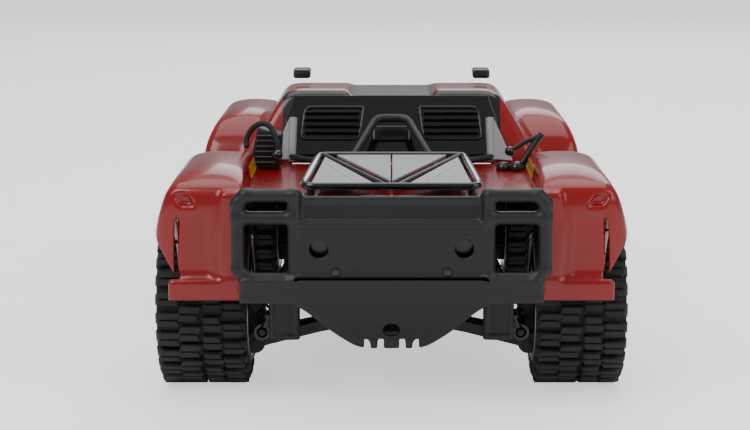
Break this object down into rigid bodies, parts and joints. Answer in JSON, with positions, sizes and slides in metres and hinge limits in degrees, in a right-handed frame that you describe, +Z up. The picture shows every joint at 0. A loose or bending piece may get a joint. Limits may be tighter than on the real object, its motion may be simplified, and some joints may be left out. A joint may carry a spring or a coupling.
{
  "type": "radio-controlled desert truck",
  "caption": "Small radio-controlled four-wheel-drive desert truck with a lift-off red body, independent sprung suspension, steering front wheels and moulded bumpers.",
  "frame": {"origin": "bottom centre of the truck's box, on the ground under its middle", "axes": "+Y forward, +X to the truck's right, +Z up"},
  "size_m": [0.2012, 0.3702, 0.1251],
  "materials": {
    "moulded_black": "matt, finely grained nylon",
    "red_shell": "gloss, painted from inside",
    "deck_grey": "gloss panels in a dark tube frame",
    "lamp_black": "gloss black",
    "guard_rubber": "matt soft rubber",
    "steel_parts": "machined steel",
    "pinion_brass": "machined",
    "motor_can": "plated can",
    "battery_wrap": "shrink wrap",
    "case_black": "moulded case",
    "rim_black": "satin black rims",
    "tyre_rubber": "matt rubber",
    "spring_black": "black painted spring wire"
  },
  "bodies": {
    "chassis": {"chassis_tub": "moulded_black", "gearbox_housings": "moulded_black", "shock_towers": "moulded_black", "motor": "motor_can", "battery": "battery_wrap", "electronics_box": "case_black", "steering_servo": "case_black", "rear_bumper": "moulded_black", "front_bumper": "moulded_black", "arm_guards": "guard_rubber"},
    "shell": {"body_shell": "red_shell", "bed_deck": "deck_grey", "roof_lamps": "lamp_black"},
    "centre_shaft": {"centre_shaft": "steel_parts"},
    "motor_pinion": {"motor_pinion": "pinion_brass"},
    "rear_diff": {"rear_diff": "steel_parts"},
    "front_diff": {"front_diff": "steel_parts"},
    "servo_bellcrank": {"servo_bellcrank": "moulded_black"},
    "idler_bellcrank": {"idler_bellcrank": "moulded_black"},
    "steering_rack": {"steering_rack": "steel_parts"},
    "rear_left_arm": {"rear_left_arm": "moulded_black"},
    "rear_left_link": {"rear_left_link": "moulded_black"},
    "rear_left_hub": {"rear_left_hub": "moulded_black"},
    "rear_left_dogbone": {"rear_left_dogbone": "steel_parts"},
    "rear_left_wheel": {"rear_left_wheel": "rim_black", "rear_left_tyre": "tyre_rubber"},
    "rear_left_shock_body": {"rear_left_shock_body": "moulded_black", "rear_left_spring": "spring_black"},
    "rear_left_shock_rod": {"rear_left_shock_rod": "steel_parts"},
    "rear_right_arm": {"rear_right_arm": "moulded_black"},
    "rear_right_link": {"rear_right_link": "moulded_black"},
    "rear_right_hub": {"rear_right_hub": "moulded_black"},
    "rear_right_dogbone": {"rear_right_dogbone": "steel_parts"},
    "rear_right_wheel": {"rear_right_wheel": "rim_black", "rear_right_tyre": "tyre_rubber"},
    "rear_right_shock_body": {"rear_right_shock_body": "moulded_black", "rear_right_spring": "spring_black"},
    "rear_right_shock_rod": {"rear_right_shock_rod": "steel_parts"},
    "front_left_arm": {"front_left_arm": "moulded_black"},
    "front_left_link": {"front_left_link": "moulded_black"},
    "front_left_carrier": {"front_left_carrier": "moulded_black"},
    "front_left_dogbone": {"front_left_dogbone": "steel_parts"},
    "front_left_knuckle": {"front_left_knuckle": "moulded_black"},
    "front_left_wheel": {"front_left_wheel": "rim_black", "front_left_tyre": "tyre_rubber"},
    "front_left_shock_body": {"front_left_shock_body": "moulded_black", "front_left_spring": "spring_black"},
    "front_left_shock_rod": {"front_left_shock_rod": "steel_parts"},
    "front_left_tie_rod": {"front_left_tie_rod": "moulded_black"},
    "front_right_arm": {"front_right_arm": "moulded_black"},
    "front_right_link": {"front_right_link": "moulded_black"},
    "front_right_carrier": {"front_right_carrier": "moulded_black"},
    "front_right_dogbone": {"front_right_dogbone": "steel_parts"},
    "front_right_knuckle": {"front_right_knuckle": "moulded_black"},
    "front_right_wheel": {"front_right_wheel": "rim_black", "front_right_tyre": "tyre_rubber"},
    "front_right_shock_body": {"front_right_shock_body": "moulded_black", "front_right_spring": "spring_black"},
    "front_right_shock_rod": {"front_right_shock_rod": "steel_parts"},
    "front_right_tie_rod": {"front_right_tie_rod": "moulded_black"}
  },
  "joints": [
    {"name": "shell_lift", "type": "slide", "parent": "chassis", "child": "shell", "axis": [0, 0, 1], "range_m": [0, 0.09]},
    {"name": "rear_diff_spin", "type": "hinge", "parent": "chassis", "child": "rear_diff", "pos_m": [0, -0.118, 0.0465], "axis": [-1, 0, 0], "continuous": true},
    {"name": "front_diff_spin", "type": "hinge", "parent": "chassis", "child": "front_diff", "pos_m": [0, 0.11, 0.0465], "axis": [-1, 0, 0], "continuous": true},
    {"name": "centre_shaft_spin", "type": "hinge", "parent": "chassis", "child": "centre_shaft", "pos_m": [0, 0, 0.0465], "axis": [0, 1, 0], "continuous": true},
    {"name": "motor_pinion_spin", "type": "hinge", "parent": "chassis", "child": "motor_pinion", "pos_m": [-0.02202, -0.018, 0.0419], "axis": [0, 1, 0], "continuous": true},
    {"name": "servo_bellcrank_turn", "type": "hinge", "parent": "chassis", "child": "servo_bellcrank", "pos_m": [0.01, 0.09, 0.05], "axis": [0, 0, 1], "range_deg": [-20, 20]},
    {"name": "idler_bellcrank_turn", "type": "hinge", "parent": "chassis", "child": "idler_bellcrank", "pos_m": [-0.01, 0.09, 0.05], "axis": [0, 0, 1], "range_deg": [-20, 20]},
    {"name": "steering_rack_shift", "type": "hinge", "parent": "servo_bellcrank", "child": "steering_rack", "pos_m": [0.01, 0.075, 0.053], "axis": [0, 0, 1], "range_deg": [-20, 20]},
    {"name": "rear_left_arm_swing", "type": "hinge", "parent": "chassis", "child": "rear_left_arm", "pos_m": [-0.018, -0.118, 0.0285], "axis": [0, 1, 0], "range_deg": [-10, 22], "stiffness_Nm_per_rad": 0.6, "springref_deg": -20.05},
    {"name": "rear_left_link_swing", "type": "hinge", "parent": "chassis", "child": "rear_left_link", "pos_m": [-0.017, -0.1305, 0.0465], "axis": [0, 1, 0], "range_deg": [-10, 22]},
    {"name": "rear_left_hub_pivot", "type": "hinge", "parent": "rear_left_arm", "child": "rear_left_hub", "pos_m": [-0.059, -0.118, 0.019], "axis": [0, 1, 0], "range_deg": [-22, 10]},
    {"name": "rear_left_dogbone_spin", "type": "hinge", "parent": "rear_left_link", "child": "rear_left_dogbone", "pos_m": [-0.017, -0.118, 0.0465], "axis": [-0.9742, 0, -0.2257], "continuous": true},
    {"name": "rear_left_wheel_spin", "type": "hinge", "parent": "rear_left_hub", "child": "rear_left_wheel", "pos_m": [-0.08, -0.118, 0.037], "axis": [-1, 0, 0], "continuous": true},
    {"name": "rear_left_shock_tilt", "type": "hinge", "parent": "chassis", "child": "rear_left_shock_body", "pos_m": [-0.031, -0.1402, 0.08], "axis": [0, 1, 0], "range_deg": [-2.62, 5.51]},
    {"name": "rear_left_shock_stroke", "type": "slide", "parent": "rear_left_shock_body", "child": "rear_left_shock_rod", "axis": [0.4095, 0, 0.9123], "range_m": [-0.0062, 0.0134], "deforming": ["rear_left_spring"]},
    {"name": "rear_right_arm_swing", "type": "hinge", "parent": "chassis", "child": "rear_right_arm", "pos_m": [0.018, -0.118, 0.0285], "axis": [0, -1, 0], "range_deg": [-10, 22], "stiffness_Nm_per_rad": 0.6, "springref_deg": -20.05},
    {"name": "rear_right_link_swing", "type": "hinge", "parent": "chassis", "child": "rear_right_link", "pos_m": [0.017, -0.1305, 0.0465], "axis": [0, -1, 0], "range_deg": [-10, 22]},
    {"name": "rear_right_hub_pivot", "type": "hinge", "parent": "rear_right_arm", "child": "rear_right_hub", "pos_m": [0.059, -0.118, 0.019], "axis": [0, -1, 0], "range_deg": [-22, 10]},
    {"name": "rear_right_dogbone_spin", "type": "hinge", "parent": "rear_right_link", "child": "rear_right_dogbone", "pos_m": [0.017, -0.118, 0.0465], "axis": [-0.9742, 0, 0.2257], "continuous": true},
    {"name": "rear_right_wheel_spin", "type": "hinge", "parent": "rear_right_hub", "child": "rear_right_wheel", "pos_m": [0.08, -0.118, 0.037], "axis": [-1, 0, 0], "continuous": true},
    {"name": "rear_right_shock_tilt", "type": "hinge", "parent": "chassis", "child": "rear_right_shock_body", "pos_m": [0.031, -0.1402, 0.08], "axis": [0, -1, 0], "range_deg": [-2.62, 5.51]},
    {"name": "rear_right_shock_stroke", "type": "slide", "parent": "rear_right_shock_body", "child": "rear_right_shock_rod", "axis": [-0.4095, 0, 0.9123], "range_m": [-0.0062, 0.0134], "deforming": ["rear_right_spring"]},
    {"name": "front_left_arm_swing", "type": "hinge", "parent": "chassis", "child": "front_left_arm", "pos_m": [-0.018, 0.11, 0.0285], "axis": [0, 1, 0], "range_deg": [-10, 22], "stiffness_Nm_per_rad": 0.6, "springref_deg": -20.05},
    {"name": "front_left_link_swing", "type": "hinge", "parent": "chassis", "child": "front_left_link", "pos_m": [-0.017, 0.1225, 0.0465], "axis": [0, 1, 0], "range_deg": [-10, 22]},
    {"name": "front_left_carrier_pivot", "type": "hinge", "parent": "front_left_arm", "child": "front_left_carrier", "pos_m": [-0.059, 0.11, 0.019], "axis": [0, 1, 0], "range_deg": [-22, 10]},
    {"name": "front_left_dogbone_spin", "type": "hinge", "parent": "front_left_link", "child": "front_left_dogbone", "pos_m": [-0.017, 0.11, 0.0465], "axis": [-0.9742, 0, -0.2257], "continuous": true},
    {"name": "front_left_steer", "type": "hinge", "parent": "front_left_carrier", "child": "front_left_knuckle", "pos_m": [-0.058, 0.11, 0.037], "axis": [0, 0, 1], "range_deg": [-20, 20]},
    {"name": "front_left_wheel_spin", "type": "hinge", "parent": "front_left_knuckle", "child": "front_left_wheel", "pos_m": [-0.08, 0.11, 0.037], "axis": [-1, 0, 0], "continuous": true},
    {"name": "front_left_shock_tilt", "type": "hinge", "parent": "chassis", "child": "front_left_shock_body", "pos_m": [-0.028, 0.1322, 0.075], "axis": [0, 1, 0], "range_deg": [-1.4, 2.84]},
    {"name": "front_left_shock_stroke", "type": "slide", "parent": "front_left_shock_body", "child": "front_left_shock_rod", "axis": [0.3456, 0, 0.9384], "range_m": [-0.00477, 0.01025], "deforming": ["front_left_spring"]},
    {"name": "front_left_tie_rod_swing", "type": "hinge", "parent": "steering_rack", "child": "front_left_tie_rod", "pos_m": [-0.017, 0.075, 0.058], "axis": [0, 1, 0], "range_deg": [-10, 22]},
    {"name": "front_right_arm_swing", "type": "hinge", "parent": "chassis", "child": "front_right_arm", "pos_m": [0.018, 0.11, 0.0285], "axis": [0, -1, 0], "range_deg": [-10, 22], "stiffness_Nm_per_rad": 0.6, "springref_deg": -20.05},
    {"name": "front_right_link_swing", "type": "hinge", "parent": "chassis", "child": "front_right_link", "pos_m": [0.017, 0.1225, 0.0465], "axis": [0, -1, 0], "range_deg": [-10, 22]},
    {"name": "front_right_carrier_pivot", "type": "hinge", "parent": "front_right_arm", "child": "front_right_carrier", "pos_m": [0.059, 0.11, 0.019], "axis": [0, -1, 0], "range_deg": [-22, 10]},
    {"name": "front_right_dogbone_spin", "type": "hinge", "parent": "front_right_link", "child": "front_right_dogbone", "pos_m": [0.017, 0.11, 0.0465], "axis": [-0.9742, 0, 0.2257], "continuous": true},
    {"name": "front_right_steer", "type": "hinge", "parent": "front_right_carrier", "child": "front_right_knuckle", "pos_m": [0.058, 0.11, 0.037], "axis": [0, 0, 1], "range_deg": [-20, 20]},
    {"name": "front_right_wheel_spin", "type": "hinge", "parent": "front_right_knuckle", "child": "front_right_wheel", "pos_m": [0.08, 0.11, 0.037], "axis": [-1, 0, 0], "continuous": true},
    {"name": "front_right_shock_tilt", "type": "hinge", "parent": "chassis", "child": "front_right_shock_body", "pos_m": [0.028, 0.1322, 0.075], "axis": [0, -1, 0], "range_deg": [-1.4, 2.84]},
    {"name": "front_right_shock_stroke", "type": "slide", "parent": "front_right_shock_body", "child": "front_right_shock_rod", "axis": [-0.3456, 0, 0.9384], "range_m": [-0.00477, 0.01025], "deforming": ["front_right_spring"]},
    {"name": "front_right_tie_rod_swing", "type": "hinge", "parent": "steering_rack", "child": "front_right_tie_rod", "pos_m": [0.017, 0.075, 0.058], "axis": [0, -1, 0], "range_deg": [-10, 22]}
  ],
  "couplings": [
    {"joint": "rear_diff_spin", "follows": "rear_left_wheel_spin", "ratio": 1},
    {"joint": "front_diff_spin", "follows": "rear_left_wheel_spin", "ratio": 1},
    {"joint": "centre_shaft_spin", "follows": "rear_left_wheel_spin", "ratio": 2.6},
    {"joint": "motor_pinion_spin", "follows": "rear_left_wheel_spin", "ratio": -6.5},
    {"joint": "servo_bellcrank_turn", "follows": "front_left_steer", "ratio": 1},
    {"joint": "idler_bellcrank_turn", "follows": "front_left_steer", "ratio": 1},
    {"joint": "steering_rack_shift", "follows": "front_left_steer", "ratio": -1},
    {"joint": "rear_left_link_swing", "follows": "rear_left_arm_swing", "ratio": 1},
    {"joint": "rear_left_hub_pivot", "follows": "rear_left_arm_swing", "ratio": -1},
    {"joint": "rear_left_dogbone_spin", "follows": "rear_left_wheel_spin", "ratio": 1},
    {"joint": "rear_left_shock_tilt", "follows": "rear_left_arm_swing", "ratio": 0.24154},
    {"joint": "rear_left_shock_stroke", "follows": "rear_left_arm_swing", "m_per_rad": 0.034382},
    {"joint": "rear_right_link_swing", "follows": "rear_right_arm_swing", "ratio": 1},
    {"joint": "rear_right_hub_pivot", "follows": "rear_right_arm_swing", "ratio": -1},
    {"joint": "rear_right_dogbone_spin", "follows": "rear_left_wheel_spin", "ratio": 1},
    {"joint": "rear_right_wheel_spin", "follows": "rear_left_wheel_spin", "ratio": 1},
    {"joint": "rear_right_shock_tilt", "follows": "rear_right_arm_swing", "ratio": 0.24154},
    {"joint": "rear_right_shock_stroke", "follows": "rear_right_arm_swing", "m_per_rad": 0.034382},
    {"joint": "front_left_link_swing", "follows": "front_left_arm_swing", "ratio": 1},
    {"joint": "front_left_carrier_pivot", "follows": "front_left_arm_swing", "ratio": -1},
    {"joint": "front_left_dogbone_spin", "follows": "rear_left_wheel_spin", "ratio": 1},
    {"joint": "front_left_wheel_spin", "follows": "rear_left_wheel_spin", "ratio": 1},
    {"joint": "front_left_shock_tilt", "follows": "front_left_arm_swing", "ratio": 0.11994},
    {"joint": "front_left_shock_stroke", "follows": "front_left_arm_swing", "m_per_rad": 0.026171},
    {"joint": "front_left_tie_rod_swing", "follows": "front_left_arm_swing", "ratio": 1},
    {"joint": "front_right_link_swing", "follows": "front_right_arm_swing", "ratio": 1},
    {"joint": "front_right_carrier_pivot", "follows": "front_right_arm_swing", "ratio": -1},
    {"joint": "front_right_dogbone_spin", "follows": "rear_left_wheel_spin", "ratio": 1},
    {"joint": "front_right_steer", "follows": "front_left_steer", "ratio": 1},
    {"joint": "front_right_wheel_spin", "follows": "rear_left_wheel_spin", "ratio": 1},
    {"joint": "front_right_shock_tilt", "follows": "front_right_arm_swing", "ratio": 0.11994},
    {"joint": "front_right_shock_stroke", "follows": "front_right_arm_swing", "m_per_rad": 0.026171},
    {"joint": "front_right_tie_rod_swing", "follows": "front_right_arm_swing", "ratio": 1}
  ]
}
